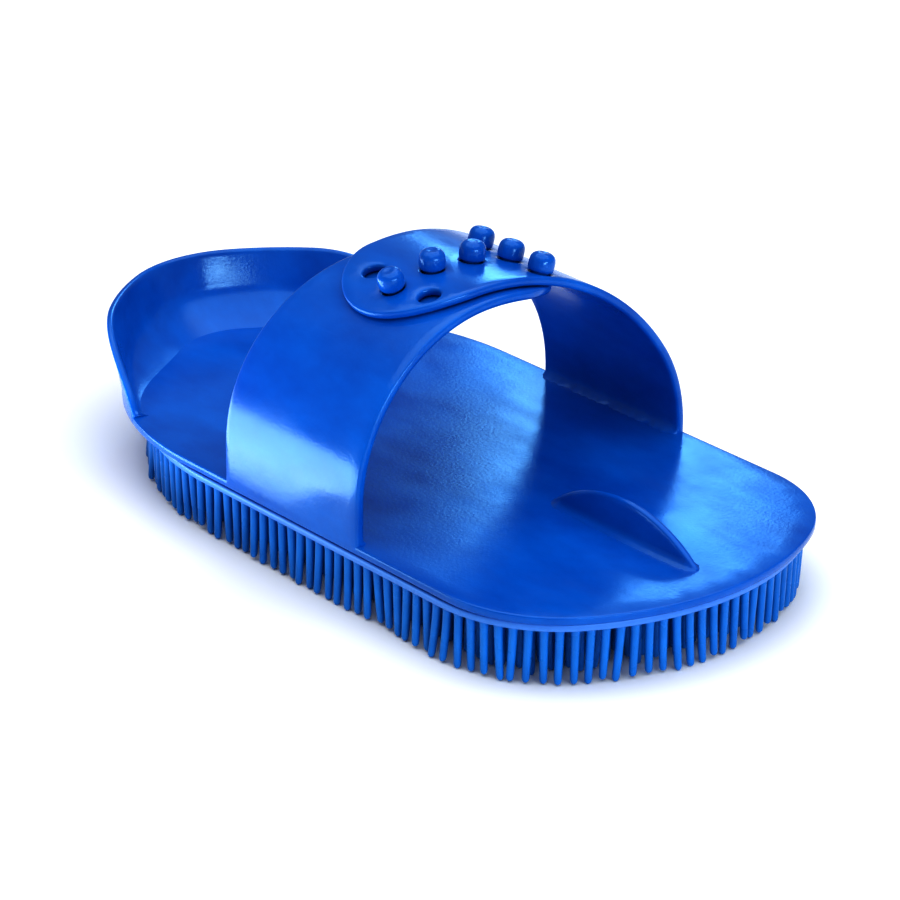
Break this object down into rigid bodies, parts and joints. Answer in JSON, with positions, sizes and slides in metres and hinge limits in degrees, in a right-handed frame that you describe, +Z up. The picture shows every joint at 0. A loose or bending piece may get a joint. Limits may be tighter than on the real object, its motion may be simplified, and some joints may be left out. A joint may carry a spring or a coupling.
{
  "type": "curry comb",
  "caption": "Soft plastic grooming comb with a field of blunt pins, an arched hand strap of two buttoned wings, a heel guard and a finger fin.",
  "frame": {"origin": "under the middle of the length and width, on the plane of the pin tips", "axes": "+X along the length towards the nose, +Y towards the wing with the holes, +Z up through the hand strap"},
  "size_m": [0.1888, 0.095, 0.07],
  "materials": {
    "handle_plastic": "satin-gloss flexible plastic, saturated blue",
    "pin_plastic": "satin-gloss flexible plastic, blue, a little lighter at the pins"
  },
  "bodies": {
    "root": {"handle_plate": "handle_plastic", "heel_guard": "handle_plastic", "finger_fin": "handle_plastic", "stud_hinge_web": "handle_plastic", "hole_hinge_web": "handle_plastic", "pin_pad": "pin_plastic"},
    "stud_side": {"stud_wing": "handle_plastic", "strap_studs": "handle_plastic"},
    "hole_side": {"hole_wing": "handle_plastic"}
  },
  "joints": [
    {"name": "hole_wing_hinge", "type": "hinge", "parent": "root", "child": "hole_side", "pos_m": [0.0122, 0.0465, 0.0181], "axis": [-1, 0, 0], "range_deg": [0, 70], "stiffness_Nm_per_rad": 0.12, "deforming": ["hole_hinge_web", "strap_studs"]},
    {"name": "stud_wing_hinge", "type": "hinge", "parent": "root", "child": "stud_side", "pos_m": [0.0122, -0.04645, 0.01815], "axis": [1, 0, 0], "range_deg": [0, 28], "stiffness_Nm_per_rad": 0.12, "deforming": ["stud_hinge_web", "strap_studs"]}
  ],
  "couplings": [
    {"joint": "stud_wing_hinge", "follows": "hole_wing_hinge", "ratio": 0.4}
  ]
}
